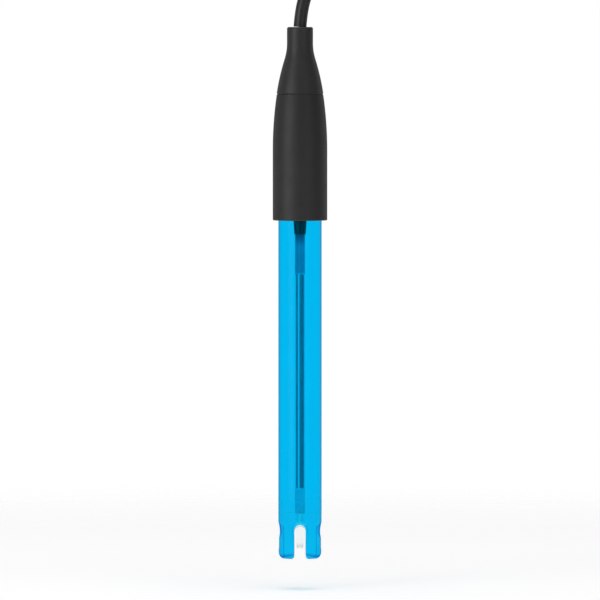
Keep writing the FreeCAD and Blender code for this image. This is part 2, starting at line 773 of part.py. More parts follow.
def make_plug_body():
    """Plug body: crimp spigot, barrel, rear flange, neck with the ring's groove, outer contact."""
    core_r = size("cable_core_dia") / 2 + fit
    groove_r = journal_r - size("retainer_seat")
    barrel_top = -size("plug_boot_length")
    body = turned("plug_body", PLUG, [
        (core_r, spigot_top),
        (size("spigot_dia") / 2, spigot_top),
        (size("spigot_dia") / 2, barrel_top),
        (size("plug_barrel_dia") / 2, barrel_top),
        (size("plug_barrel_dia") / 2, flange_top),
        (size("flange_dia") / 2, flange_top),
        (size("flange_dia") / 2, flange_foot),
        (journal_r, flange_foot),
        (journal_r, spring_foot),
        (groove_r, spring_foot),
        (groove_r, retainer_foot),
        (journal_r, retainer_foot),
        (journal_r, gasket_foot),
        (contact_r, gasket_foot),
        (contact_r - size("contact_taper"), contact_foot),
        (contact_bore_r, contact_foot),
        (contact_bore_r, flange_top),
        (core_r, flange_top),
    ])
    half_slit = size("contact_slit") / 2
    sketch = new_sketch(body, "SlitOutline", "XZ_Plane")
    slit_top = gasket_foot - half_slit * 2
    draw_outline(sketch, [
        (-half_slit, contact_foot - half_slit),
        (half_slit, contact_foot - half_slit),
        (half_slit, slit_top),
        (-half_slit, slit_top),
    ])
    slit = cut(body, sketch, "Slit", "both")
    repeat_round(body, slit, SLOTS, "Slits")


def make_insulator():
    pin_r = size("pin_dia") / 2 + fit
    nose = size("insulator_nose_dia") / 2
    step = insulator_foot + size("insulator_nose")
    sleeve_r = contact_bore_r - fit
    turned("plug_insulator", PLUG, [
        (pin_r, insulator_foot),
        (nose, insulator_foot),
        (nose, step),
        (sleeve_r, step),
        (sleeve_r, flange_top - fit),
        (pin_r, flange_top - fit),
    ])


def make_pin():
    pin_r = size("pin_dia") / 2
    pin_foot = flange_foot - size("pin_reach")
    turned("centre_pin", PLUG, [
        (0, pin_foot),
        (pin_r / 2, pin_foot),
        (pin_r, pin_foot + pin_r),
        (pin_r, flange_top - fit),
        (0, flange_top - fit),
    ])


def make_nut_rings():
    """What sits on the plug's neck inside the nut: thrust washer, wave spring, ring and gasket."""
    gap = size("ring_gap")
    outer = nut_bore_r - gap
    sleeve("thrust_washer", PLUG, journal_r + size("running_gap"), outer, spring_top, washer_top)
    groove_r = journal_r - size("retainer_seat")
    ring_foot = retainer_foot + fit
    body = sleeve("retaining_ring", PLUG, groove_r + fit, outer, ring_foot, spring_foot - fit)
    sketch = new_sketch(body, "GapOutline", "XY_Plane")
    half_gap = size("retainer_gap") / 2
    draw_outline(sketch, [
        (-half_gap, groove_r / 2),
        (half_gap, groove_r / 2),
        (half_gap, nut_bore_r),
        (-half_gap, nut_bore_r),
    ])
    cut(body, sketch, "Gap", "both")
    sleeve("plug_gasket", PLUG, journal_r + fit, outer, gasket_foot, retainer_foot - fit)
    make_wave_spring(journal_r + gap, outer - gap)


def make_wave_spring(inner, outer):
    """A flat ring sliced from a wavy block: its top and foot follow three waves round."""
    thickness = size("spring_thickness").value
    swing = (spring_height.value - thickness) / 2 - 2 * fit.value
    middle = (spring_top.value + spring_foot.value) / 2
    rails = []
    for radius in (inner.value, outer.value):
        points = []
        for step in range(WAVE_STEPS):
            angle = 2 * math.pi * step / WAVE_STEPS
            height = middle - thickness / 2 + swing * math.cos(WAVES * angle)
            across = FreeCAD.Vector(math.cos(angle), math.sin(angle), 0)
            points.append(across * radius + FreeCAD.Vector(0, 0, height))
        curve = Part.BSplineCurve()
        curve.interpolate(points, PeriodicFlag=True)
        rails.append(curve.toShape())
    strip = Part.makeRuledSurface(rails[0], rails[1])
    ring = strip.extrude(FreeCAD.Vector(0, 0, thickness))
    spring = doc.addObject("Part::Feature", "wave_spring")
    spring.Label = "wave_spring"
    spring.Shape = ring
    base = FreeCAD.Vector(*[number(shift) for shift in PLUG])
    spring.Placement = FreeCAD.Placement(base, FreeCAD.Rotation())
    parts.append(spring)


def make_nut():
    """Bayonet coupling nut: rear flange on the plug's neck, ribbed grip, lug slots and holes."""
    nut_r = nut_bore_r + size("nut_wall")
    edge = size("nut_edge")
    grip_foot = nut_top - size("nut_grip")
    collar_r = nut_r - edge * 2
    flange_bore = journal_r + size("running_gap")
    body = turned("coupling_nut", PLUG, [
        (flange_bore, nut_top),
        (collar_r - edge, nut_top),
        (collar_r, nut_top - edge),
        (collar_r, grip_foot),
        (nut_r, grip_foot - edge * 2),
        (nut_r, nut_foot + edge),
        (nut_r - edge, nut_foot),
        (nut_bore_r, nut_foot),
        (nut_bore_r, nut_top - size("nut_flange")),
        (flange_bore, nut_top - size("nut_flange")),
    ])
    add_grip_ribs(body, collar_r, grip_foot)
    add_lug_slots(body)


def add_grip_ribs(body, collar_r, grip_foot):
    edge = size("nut_edge")
    sketch = new_sketch(body, "RibOutline", "XY_Plane", grip_foot - edge)
    draw_circle(sketch, collar_r - edge, 0, size("rib_dia") / 2)
    rib = body.newObject("PartDesign::Pad", "Rib")
    rib.Profile = sketch
    bind(rib, "Length", size("nut_grip") - edge * 3)
    repeat_round(body, rib, RIBS, "Ribs")


def add_lug_slots(body):
    """Two entry slots from the mouth, each a quarter turn from a round latch hole."""
    half = size("lug_slot") / 2
    level = nut_foot + size("lug_height")
    depth_r = nut_bore_r + size("lug_depth")
    sketch = new_sketch(body, "EntryOutline", "XY_Plane", nut_foot)
    draw_outline(sketch, [
        (half, -depth_r),
        (half, depth_r),
        (-half, depth_r),
        (-half, -depth_r),
    ])
    cut(body, sketch, "Entry", "up", size("lug_height") + half)
    sketch = new_sketch(body, "TrackOutline", "XZ_Plane")
    draw_outline(sketch, [
        (journal_r, level - half),
        (depth_r, level - half),
        (depth_r, level + half),
        (journal_r, level + half),
    ])
    track = body.newObject("PartDesign::Groove", "Track")
    track.Profile = sketch
    track.ReferenceAxis = (sketch, ["V_Axis"])
    track.Angle = 360
    body.Tip = track
    hole = new_sketch(body, "LatchOutline", "YZ_Plane")
    draw_circle(hole, 0, level, half)
    cut(body, hole, "Latches", "both")


# ---- the whole -------------------------------------------------------------------------------


def check_document():
    for item in doc.Objects:
        if "Invalid" in item.State or "Error" in item.State:
            raise RuntimeError(f"{item.Label} failed: {item.State}")
    for part in parts:
        if part.Shape.isNull() or not part.Shape.isValid():
            raise RuntimeError(f"{part.Label} has no valid shape")
        if not part.Shape.Solids:
            raise RuntimeError(f"{part.Label} is not a solid")


def write_parts():
    os.makedirs("parts", exist_ok=True)
    for part in parts:
        part.Shape.exportStep(os.path.join("parts", f"{part.Label}.step"))
    print(len(parts), "parts")


make_boot()
make_cap()
make_cap_ring()
make_shaft()
make_stopper()
make_inner_tube()
make_bulb()
make_buffer()
make_element()
make_wires()
make_gel()
make_seal()
make_junction()
make_cable_end()
make_cable("cable_lead", LEAD_ROUTE)
make_coil()
make_cable("cable_tail", TAIL_ROUTE)
make_plug_boot()
make_plug_cable()
make_plug_body()
make_insulator()
make_pin()
make_nut_rings()
make_nut()
doc.recompute()
check_document()
write_parts()
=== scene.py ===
import json
import math

import bpy
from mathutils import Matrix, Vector


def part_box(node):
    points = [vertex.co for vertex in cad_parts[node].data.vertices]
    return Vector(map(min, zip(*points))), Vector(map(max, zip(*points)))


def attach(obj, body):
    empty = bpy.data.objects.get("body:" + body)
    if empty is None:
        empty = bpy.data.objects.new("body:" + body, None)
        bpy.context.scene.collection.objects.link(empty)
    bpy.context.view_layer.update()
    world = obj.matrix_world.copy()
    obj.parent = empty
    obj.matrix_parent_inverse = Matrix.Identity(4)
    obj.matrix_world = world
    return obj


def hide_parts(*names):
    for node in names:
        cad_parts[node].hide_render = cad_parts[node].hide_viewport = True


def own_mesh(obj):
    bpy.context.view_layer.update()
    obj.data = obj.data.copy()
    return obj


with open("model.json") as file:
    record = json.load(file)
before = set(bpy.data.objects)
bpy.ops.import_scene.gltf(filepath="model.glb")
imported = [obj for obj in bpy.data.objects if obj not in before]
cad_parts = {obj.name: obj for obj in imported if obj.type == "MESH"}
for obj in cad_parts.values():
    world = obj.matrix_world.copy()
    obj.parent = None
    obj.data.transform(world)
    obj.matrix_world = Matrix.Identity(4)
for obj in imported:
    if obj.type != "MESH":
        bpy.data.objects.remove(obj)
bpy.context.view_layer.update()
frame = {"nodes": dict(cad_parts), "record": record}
nodes = frame["nodes"]

# A pH electrode hanging from the coil of its own cable. Metres, Z up, origin under the coil's top.
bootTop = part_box("strain_relief_boot")[1].z
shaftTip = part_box("shaft_body")[0].z
mm = 0.001
sameSpot = 0.01 * mm  # points nearer than this count as one
plainWhite = (1.0, 1.0, 1.0, 1.0)

cameraLook = {
    "lens": 381.0,
    "sensor": 36.0,
    "distance": 1.76,
    "elevation": 2.4,  # degrees above level
    "belowBoot": 0.0756,  # what it aims at, below the boot's top
    "clip": (0.05, 20.0),
}
lightLook = {
    # name: where it stands, round what it aims at (x, y, z), its width, height and watts
    "keyLight": ((-0.86, -0.72, 0.15), 0.60, 0.90, 4.3),
    "fillLight": ((0.70, -0.95, 0.05), 0.60, 0.90, 1.0),
    "topLight": ((0.0, -0.15, 0.95), 0.70, 0.50, 4.0),
    "leftRim": ((-0.75, 0.60, 0.05), 0.30, 0.90, 0.25),
    "rightRim": ((0.75, 0.60, 0.05), 0.30, 0.90, 0.32),
}
roomLook = {
    "seenWhite": 1.0,  # what shows behind the object, and through clear pieces
    "frontGlow": 0.15,
    "backGlow": 0.30,
    "glowSpan": (-0.4, 0.8),  # how far back the glow starts to rise, and is full
    "bounces": 28,  # clear pieces stand one inside another
    "floorDrop": 0.0088,  # floor below the tip
    "floorRadius": 0.60,
    "floorSides": 96,
    "floorFade": (0.16, 0.42),  # the floor runs out into white between these radii
    "floorColour": (0.93, 0.93, 0.93, 1.0),
    "floorRough": 0.8,
    "floorLift": 0.44,  # light of its own, so that the floor stays as pale as the room
}


def deselectAll():
    if bpy.context.object and bpy.context.object.mode != "OBJECT":
        bpy.ops.object.mode_set(mode="OBJECT")
    bpy.ops.object.select_all(action="DESELECT")


def placeCamera():
    data = bpy.data.cameras.new("studioCamera")
    data.lens = cameraLook["lens"]
    data.sensor_width = cameraLook["sensor"]
    data.clip_start, data.clip_end = cameraLook["clip"]
    camera = bpy.data.objects.new("studioCamera", data)
    bpy.context.scene.collection.objects.link(camera)
    aim = Vector((0.0, 0.0, bootTop - cameraLook["belowBoot"]))
    tilt = math.radians(cameraLook["elevation"])
    back = Vector((0.0, -math.cos(tilt), math.sin(tilt))) * cameraLook["distance"]
    camera.location = aim + back
    camera.rotation_euler = (-back).to_track_quat("-Z", "Y").to_euler()
    bpy.context.scene.camera = camera
    return aim


def placeLights(aim):
    for name, (where, width, height, watts) in lightLook.items():
        data = bpy.data.lights.new(name, "AREA")
        data.shape = "RECTANGLE"
        data.size = width
        data.size_y = height
        data.energy = watts
        light = bpy.data.objects.new(name, data)
        bpy.context.scene.collection.objects.link(light)
        light.location = aim + Vector(where)
        light.rotation_euler = (-Vector(where)).to_track_quat("-Z", "Y").to_euler()


def addNode(tree, kind, across, down, **settings):
    node = tree.nodes.new(kind)
    node.location = (across * 200, -down * 180)
    for key, value in settings.items():
        setattr(node, key, value)
    return node


def setInputs(node, **values):
    for name, value in values.items():
        node.inputs[name].default_value = value


def mapRange(tree, value, span, across, down, reach=(0.0, 1.0), smooth=False):
    # the result runs over reach while the value runs over span
    node = addNode(tree, "ShaderNodeMapRange", across, down)
    if smooth:
        node.interpolation_type = "SMOOTHSTEP"
    node.inputs["From Min"].default_value, node.inputs["From Max"].default_value = span
    node.inputs["To Min"].default_value, node.inputs["To Max"].default_value = reach
    tree.links.new(value, node.inputs["Value"])
    return node.outputs["Result"]


def makeRoom():
    world = bpy.data.worlds.new("paleStudio")
    bpy.context.scene.world = world
    world.use_nodes = True
    tree = world.node_tree
    tree.nodes.clear()
    out = addNode(tree, "ShaderNodeOutputWorld", 5, 0)
    pick = addNode(tree, "ShaderNodeMixShader", 4, 0)
    rays = addNode(tree, "ShaderNodeLightPath", 1, -2)
    seen = addNode(tree, "ShaderNodeMath", 2, -1, operation="MAXIMUM")
    white = addNode(tree, "ShaderNodeBackground", 3, 2)
    white.inputs["Strength"].default_value = roomLook["seenWhite"]
    white.inputs["Color"].default_value = plainWhite
    glow = addNode(tree, "ShaderNodeBackground", 3, 1)
    glow.inputs["Color"].default_value = plainWhite
    where = addNode(tree, "ShaderNodeTexCoord", 0, 1)
    split = addNode(tree, "ShaderNodeSeparateXYZ", 1, 1)
    strength = mapRange(tree, split.outputs["Y"], roomLook["glowSpan"], 2, 1,
                        (roomLook["frontGlow"], roomLook["backGlow"]), smooth=True)
    tree.links.new(where.outputs["Generated"], split.inputs["Vector"])
    tree.links.new(strength, glow.inputs["Strength"])
    tree.links.new(rays.outputs["Is Camera Ray"], seen.inputs[0])
    tree.links.new(rays.outputs["Is Transmission Ray"], seen.inputs[1])
    tree.links.new(seen.outputs["Value"], pick.inputs["Fac"])
    tree.links.new(glow.outputs["Background"], pick.inputs[1])
    tree.links.new(white.outputs["Background"], pick.inputs[2])
    tree.links.new(pick.outputs["Shader"], out.inputs["Surface"])


def makeFloor():
    deselectAll()
    level = shaftTip - roomLook["floorDrop"]
    bpy.ops.mesh.primitive_circle_add(
        vertices=roomLook["floorSides"], radius=roomLook["floorRadius"], fill_type="NGON",
        location=(0, 0, level))
    floor = bpy.context.object
    floor.name = "paleFloor"
    material = bpy.data.materials.new("paleFloor")
    material.use_nodes = True
    tree = material.node_tree
    shader = tree.nodes["Principled BSDF"]
    shader.inputs["Base Color"].default_value = roomLook["floorColour"]
    shader.inputs["Roughness"].default_value = roomLook["floorRough"]
    shader.inputs["Emission Color"].default_value = plainWhite
    shader.inputs["Emission Strength"].default_value = roomLook["floorLift"]
    where = addNode(tree, "ShaderNodeTexCoord", -5, 0)
    reach = addNode(tree, "ShaderNodeVectorMath", -4, 0, operation="LENGTH")
    fade = mapRange(tree, reach.outputs["Value"], roomLook["floorFade"], -3, 0, (1.0, 0.0), smooth=True)
    tree.links.new(where.outputs["Object"], reach.inputs[0])
    tree.links.new(fade, shader.inputs["Alpha"])
    floor.data.materials.append(material)


print("stage: camera, lights, floor")
bpy.context.scene.view_settings.view_transform = "Standard"
for limit in ("max_bounces", "transmission_bounces", "transparent_max_bounces"):
    setattr(bpy.context.scene.cycles, limit, roomLook["bounces"])
aim = placeCamera()
placeLights(aim)
makeRoom()
makeFloor()


# shared effects, each a node group built once

def newGroup(name, takes, gives):
    group = bpy.data.node_groups.new(name, "ShaderNodeTree")
    for socket, kind, start in takes:
        made = group.interface.new_socket(socket, in_out="INPUT", socket_type=kind)
        if start is not None:
            made.default_value = start
    for socket, kind in gives:
        group.interface.new_socket(socket, in_out="OUTPUT", socket_type=kind)
    return group, addNode(group, "NodeGroupInput", -6, 0), addNode(group, "NodeGroupOutput", 4, 0)


grainEffect = {
    "fineDetail": 3.0,
    "fineRough": 0.55,
    "cellShare": 0.4,
    "coarseDetail": 5.0,
    "coarseRough": 0.6,
    "mottleSpan": (0.3, 0.7),
}


def makeGrainGroup():
    # fine moulded grain and a slow mottle over it
    group, takes, gives = newGroup(
        "mouldedGrain",
        [("Vector", "NodeSocketVector", None), ("Fine", "NodeSocketFloat", 4000.0),
         ("Coarse", "NodeSocketFloat", 180.0)],
        [("Height", "NodeSocketFloat"), ("Mottle", "NodeSocketFloat")])
    fine = addNode(group, "ShaderNodeTexNoise", -3, 0)
    setInputs(fine, Detail=grainEffect["fineDetail"], Roughness=grainEffect["fineRough"])
    cells = addNode(group, "ShaderNodeTexVoronoi", -3, 2, feature="SMOOTH_F1")
    blend = addNode(group, "ShaderNodeMix", 0, 0, data_type="FLOAT")
    blend.inputs[0].default_value = grainEffect["cellShare"]
    coarse = addNode(group, "ShaderNodeTexNoise", -3, 4)
    setInputs(coarse, Detail=grainEffect["coarseDetail"], Roughness=grainEffect["coarseRough"])
    mottle = mapRange(group, coarse.outputs["Fac"], grainEffect["mottleSpan"], 0, 4)
    for texture, size in ((fine, "Fine"), (cells, "Fine"), (coarse, "Coarse")):
        group.links.new(takes.outputs["Vector"], texture.inputs["Vector"])
        group.links.new(takes.outputs[size], texture.inputs["Scale"])
    group.links.new(fine.outputs["Fac"], blend.inputs[2])
    group.links.new(cells.outputs["Distance"], blend.inputs[3])
    group.links.new(blend.outputs[0], gives.inputs["Height"])
    group.links.new(mottle, gives.inputs["Mottle"])
    return group


edgeEffect = {
    "samples": 6,
    "bend": (0.995, 0.80),  # how alike the two normals are where wear starts, and where it is full
    "noiseDetail": 4.0,
    "breakSpan": (0.38, 0.62),
}


def makeEdgeGroup():
    # edges where a rounded normal parts from the true one: Edge, broken up by noise, is worn edges; Plain
    # is every edge, and on the clear guard it carries painted shade
    group, takes, gives = newGroup(
        "wearAndShadeEdges",
        [("Vector", "NodeSocketVector", None), ("Radius", "NodeSocketFloat", 0.0003),
         ("Breakup", "NodeSocketFloat", 900.0)],
        [("Edge", "NodeSocketFloat"), ("Plain", "NodeSocketFloat"), ("Normal", "NodeSocketVector")])
    rounded = addNode(group, "ShaderNodeBevel", -4, 0, samples=edgeEffect["samples"])
    true = addNode(group, "ShaderNodeNewGeometry", -4, 2)
    dot = addNode(group, "ShaderNodeVectorMath", -2, 0, operation="DOT_PRODUCT")
    mask = mapRange(group, dot.outputs["Value"], edgeEffect["bend"], -1, 0)
    noise = addNode(group, "ShaderNodeTexNoise", -2, 3)
    setInputs(noise, Detail=edgeEffect["noiseDetail"])
    contrast = mapRange(group, noise.outputs["Fac"], edgeEffect["breakSpan"], -1, 3)
    both = addNode(group, "ShaderNodeMath", 1, 1, operation="MULTIPLY")
    group.links.new(takes.outputs["Radius"], rounded.inputs["Radius"])
    group.links.new(rounded.outputs["Normal"], dot.inputs[0])
    group.links.new(true.outputs["Normal"], dot.inputs[1])
    group.links.new(takes.outputs["Vector"], noise.inputs["Vector"])
    group.links.new(takes.outputs["Breakup"], noise.inputs["Scale"])
    group.links.new(mask, both.inputs[0])
    group.links.new(mask, gives.inputs["Plain"])
    group.links.new(contrast, both.inputs[1])
    group.links.new(both.outputs["Value"], gives.inputs["Edge"])
    group.links.new(rounded.outputs["Normal"], gives.inputs["Normal"])
    return group


dustEffect = {
    "faceUp": (0.35, 1.0),  # how far up a face looks where dust starts to lie, and lies fully
    "specks": 2600.0,
    "speckDetail": 6.0,
    "speckSpan": (0.42, 0.72),
    "markDetail": 7.0,
    "markRough": 0.68,
    "markBend": 0.6,
    "markSpan": (0.45, 0.75),
}


def makeDustGroup():
    # fine dust on what faces up, and faint handling marks all over
    group, takes, gives = newGroup(
        "settledDust",
        [("Vector", "NodeSocketVector", None), ("Marks", "NodeSocketFloat", 260.0)],
        [("Dust", "NodeSocketFloat"), ("Smudge", "NodeSocketFloat")])
    facing = addNode(group, "ShaderNodeNewGeometry", -4, 0)
    split = addNode(group, "ShaderNodeSeparateXYZ", -3, 0)
    up = mapRange(group, split.outputs["Z"], dustEffect["faceUp"], -2, 0)
    specks = addNode(group, "ShaderNodeTexNoise", -3, 2)
    setInputs(specks, Scale=dustEffect["specks"], Detail=dustEffect["speckDetail"])
    sift = mapRange(group, specks.outputs["Fac"], dustEffect["speckSpan"], -2, 2)
    lay = addNode(group, "ShaderNodeMath", 0, 0, operation="MULTIPLY")
    marks = addNode(group, "ShaderNodeTexNoise", -3, 4)
    setInputs(marks, Detail=dustEffect["markDetail"], Roughness=dustEffect["markRough"],
              Distortion=dustEffect["markBend"])
    thin = mapRange(group, marks.outputs["Fac"], dustEffect["markSpan"], -2, 4)
    group.links.new(facing.outputs["Normal"], split.inputs["Vector"])
    group.links.new(takes.outputs["Vector"], specks.inputs["Vector"])
    group.links.new(up, lay.inputs[0])
    group.links.new(sift, lay.inputs[1])
    group.links.new(lay.outputs["Value"], gives.inputs["Dust"])
    group.links.new(takes.outputs["Vector"], marks.inputs["Vector"])
    group.links.new(takes.outputs["Marks"], marks.inputs["Scale"])
    group.links.new(thin, gives.inputs["Smudge"])
    return group


turnedEffect = {
    "squeeze": (0.02, 0.02, 1.0),  # noise drawn out sideways, so that it reads as rings
    "detail": 2.0,
    "ringSpan": (0.35, 0.65),
}


def makeTurnedGroup():
    # the fine rings that turning and polishing leave round a piece's upright axis
    group, takes, gives = newGroup(
        "turnedMarks",
        [("Vector", "NodeSocketVector", None), ("Pitch", "NodeSocketFloat", 9000.0)],
        [("Height", "NodeSocketFloat"), ("Rings", "NodeSocketFloat")])
    squeeze = addNode(group, "ShaderNodeVectorMath", -4, 0, operation="MULTIPLY")
    squeeze.inputs[1].default_value = turnedEffect["squeeze"]
    rings = addNode(group, "ShaderNodeTexNoise", -3, 0)
    setInputs(rings, Detail=turnedEffect["detail"])
    ringed = mapRange(group, rings.outputs["Fac"], turnedEffect["ringSpan"], -1, 0)
    group.links.new(takes.outputs["Vector"], squeeze.inputs[0])
    group.links.new(squeeze.outputs["Vector"], rings.inputs["Vector"])
    group.links.new(takes.outputs["Pitch"], rings.inputs["Scale"])
    group.links.new(rings.outputs["Fac"], gives.inputs["Height"])
    group.links.new(ringed, gives.inputs["Rings"])
    return group


weaveEffect = {"fuzz": 5200.0, "fuzzDetail": 4.0}


def makeWeaveGroup():
    # two crossing sets of yarns
    group, takes, gives = newGroup(
        "crossedYarns",
        [("Vector", "NodeSocketVector", None), ("Yarns", "NodeSocketFloat", 1400.0)],
        [("Height", "NodeSocketFloat"), ("Over", "NodeSocketFloat")])
    scaled = addNode(group, "ShaderNodeVectorMath", -5, 0, operation="SCALE")
    split = addNode(group, "ShaderNodeSeparateXYZ", -4, 0)
    group.links.new(takes.outputs["Vector"], scaled.inputs[0])
    group.links.new(takes.outputs["Yarns"], scaled.inputs["Scale"])
    group.links.new(scaled.outputs["Vector"], split.inputs["Vector"])
    waves = []
    for row, axis in enumerate("XY"):
        wave = addNode(group, "ShaderNodeMath", -3, row, operation="SINE")
        group.links.new(split.outputs[axis], wave.inputs[0])
        waves.append(wave)
    cross = addNode(group, "ShaderNodeMath", -2, 0, operation="MULTIPLY")
    group.links.new(waves[0].outputs["Value"], cross.inputs[0])
    group.links.new(waves[1].outputs["Value"], cross.inputs[1])
    over = mapRange(group, cross.outputs["Value"], (-1.0, 1.0), -1, 0)
    fuzz = addNode(group, "ShaderNodeTexNoise", -3, 3)
    setInputs(fuzz, Scale=weaveEffect["fuzz"], Detail=weaveEffect["fuzzDetail"])
    both = addNode(group, "ShaderNodeMath", 1, 0, operation="ADD")
    group.links.new(takes.outputs["Vector"], fuzz.inputs["Vector"])
    group.links.new(over, both.inputs[0])
    group.links.new(fuzz.outputs["Fac"], both.inputs[1])
    group.links.new(both.outputs["Value"], gives.inputs["Height"])
    group.links.new(over, gives.inputs["Over"])
    return group


grainGroup = makeGrainGroup()
edgeGroup = makeEdgeGroup()
dustGroup = makeDustGroup()
turnedGroup = makeTurnedGroup()
weaveGroup = makeWeaveGroup()
print("stage: shared effects")


def startMaterial(name, centre=(0.0, 0.0, 0.0)):
    # an empty material whose pattern is centred on the piece's own axis
    material = bpy.data.materials.new(name)
    material.use_nodes = True
    tree = material.node_tree
    shader = tree.nodes["Principled BSDF"]
    where = addNode(tree, "ShaderNodeTexCoord", -9, 0)
    centred = addNode(tree, "ShaderNodeMapping", -8, 0)
    centred.inputs["Location"].default_value = [-part for part in centre]
    tree.links.new(where.outputs["Object"], centred.inputs["Vector"])
    return material, tree, shader, centred.outputs["Vector"]


def useGroup(tree, group, vector, across, down, **values):
    node = addNode(tree, "ShaderNodeGroup", across, down, node_tree=group)
    tree.links.new(vector, node.inputs["Vector"])
    setInputs(node, **values)
    return node


def mixColours(tree, mask, first, second, across, down):
    # second shows where the mask is 1; each is a colour or a socket
    mix = addNode(tree, "ShaderNodeMix", across, down, data_type="RGBA")
    tree.links.new(mask, mix.inputs[0])
    for socket, colour in ((mix.inputs[6], first), (mix.inputs[7], second)):
        if isinstance(colour, bpy.types.NodeSocket):
            tree.links.new(colour, socket)
        else:
            socket.default_value = (*colour, 1.0)
    return mix.outputs[2]


def spreadMask(tree, mask, low, high, across, down):
    # a mask from 0 to 1 comes out between low and high
    return mapRange(tree, mask, (0.0, 1.0), across, down, (low, high))


def addBump(tree, shader, height, distance, strength, normal=None):
    bump = addNode(tree, "ShaderNodeBump", -2, 4)
    setInputs(bump, Strength=strength, Distance=distance)
    tree.links.new(height, bump.inputs["Height"])
    if normal is not None:
        tree.links.new(normal, bump.inputs["Normal"])
    tree.links.new(bump.outputs["Normal"], shader.inputs["Normal"])


mouldedLooks = {
    # name: colour, its lighter mottle, roughness from and to, grain per metre, depth in metres,
    # worn colour, and a glow that stands for the light which clear plastic round the piece lets in
    "boot_rubber": {"colour": (0.0235, 0.0235, 0.0250), "mottle": (0.0275, 0.0277, 0.0295),
                    "rough": (0.46, 0.58), "grain": 5200.0, "depth": 0.000018,
                    "edgeWearAndShade": (0.050, 0.050, 0.052)},
    "cap_plastic": {"colour": (0.0180, 0.0180, 0.0192), "mottle": (0.0220, 0.0221, 0.0235),
                    "rough": (0.50, 0.60), "grain": 6800.0, "depth": 0.000012,
                    "edgeWearAndShade": (0.055, 0.055, 0.058)},
    "seal_rubber": {"colour": (0.0060, 0.0062, 0.0070), "mottle": (0.0090, 0.0092, 0.0100),
                    "rough": (0.38, 0.50), "grain": 4200.0, "depth": 0.000012,
                    "edgeWearAndShade": (0.020, 0.020, 0.021)},
    "cable_jacket": {"colour": (0.0190, 0.0190, 0.0205), "mottle": (0.0240, 0.0242, 0.0260),
                     "rough": (0.40, 0.52), "grain": 3600.0, "depth": 0.000016,
                     "edgeWearAndShade": (0.045, 0.045, 0.047)},
    "potting_resin": {"colour": (0.0300, 0.0290, 0.0280), "mottle": (0.0450, 0.0430, 0.0410),
                      "rough": (0.30, 0.50), "grain": 1800.0, "depth": 0.000020,
                      "edgeWearAndShade": (0.080, 0.078, 0.075)},
    "gasket_rubber": {"colour": (0.3600, 0.0620, 0.0360), "mottle": (0.4300, 0.0850, 0.0520),
                      "rough": (0.48, 0.62), "grain": 3800.0, "depth": 0.000016,
                      "edgeWearAndShade": (0.520, 0.180, 0.130)},
    "white_insulator": {"colour": (0.8200, 0.8180, 0.7900), "mottle": (0.8700, 0.8680, 0.8450),
                        "rough": (0.34, 0.46), "grain": 3000.0, "depth": 0.000008,
                        "edgeWearAndShade": (0.880, 0.880, 0.860)},
    "silver_chloride": {"colour": (0.2400, 0.2250, 0.3000), "mottle": (0.3100, 0.2900, 0.3700),
                        "rough": (0.28, 0.44), "grain": 2600.0, "depth": 0.000020,
                        "edgeWearAndShade": (0.380, 0.360, 0.430)},
    "porous_ceramic": {"colour": (0.7400, 0.7350, 0.7000), "mottle": (0.8400, 0.8350, 0.8100),
                       "rough": (0.70, 0.90), "grain": 9000.0, "depth": 0.000003,
                       "edgeWearAndShade": (0.900, 0.900, 0.880), "glow": 0.32},
}
mouldedWear = {"edge": 0.55, "dust": 0.12, "bump": 0.6}  # how strongly each shows
dustColour = (0.30, 0.29, 0.27)


def makeMoulded(name, look):
    material, tree, shader, vector = startMaterial(name)
    grain = useGroup(tree, grainGroup, vector, -6, 0, Fine=look["grain"])
    edgeWearAndShade = useGroup(tree, edgeGroup, vector, -6, 2)
    dust = useGroup(tree, dustGroup, vector, -6, 4)
    body = mixColours(tree, grain.outputs["Mottle"], look["colour"], look["mottle"], -4, 0)
    edged = mixColours(tree, spreadMask(tree, edgeWearAndShade.outputs["Edge"], 0.0, mouldedWear["edge"], -5, 2),
                       body, look["edgeWearAndShade"], -3, 0)
    dusty = mixColours(tree, spreadMask(tree, dust.outputs["Dust"], 0.0, mouldedWear["dust"], -5, 4),
                       edged, dustColour, -2, 0)
    tree.links.new(dusty, shader.inputs["Base Color"])
    low, high = look["rough"]
    rough = spreadMask(tree, dust.outputs["Smudge"], low, high, -4, 5)
    tree.links.new(rough, shader.inputs["Roughness"])
    addBump(tree, shader, grain.outputs["Height"], look["depth"], mouldedWear["bump"])
    if "glow" in look:
        tree.links.new(dusty, shader.inputs["Emission Color"])
        shader.inputs["Emission Strength"].default_value = look["glow"]
    return material


metalLooks = {
    # name: colour, tarnish, roughness from and to, rings per metre, rounding of its edges in mm
    "plug_nickel": {"colour": (0.70, 0.685, 0.645), "tarnish": (0.50, 0.475, 0.42), "rough": (0.20, 0.34),
                    "pitch": 12000.0, "edge": 0.2, "depth": 0.000004},
    "silver_wire": {"colour": (0.86, 0.85, 0.83), "tarnish": (0.58, 0.54, 0.46), "rough": (0.22, 0.40),
                    "pitch": 9000.0, "edge": 0.04, "depth": 0.000003},
    "clamp_brass": {"colour": (0.80, 0.58, 0.26), "tarnish": (0.46, 0.30, 0.14), "rough": (0.26, 0.42),
                    "pitch": 7000.0, "edge": 0.2, "depth": 0.000006},
    "pin_gold": {"colour": (0.94, 0.70, 0.30), "tarnish": (0.80, 0.55, 0.22), "rough": (0.16, 0.28),
                 "pitch": 14000.0, "edge": 0.1, "depth": 0.000003},
    "spring_steel": {"colour": (0.56, 0.55, 0.54), "tarnish": (0.34, 0.33, 0.33), "rough": (0.26, 0.40),
                     "pitch": 10000.0, "edge": 0.1, "depth": 0.000004},
}
metalWear = {"tarnish": 0.45, "edge": 0.6, "brighter": 1.12, "dust": 0.06, "marks": 420.0, "bump": 0.5}
plugAxis = (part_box("plug_body")[0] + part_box("plug_body")[1]) / 2


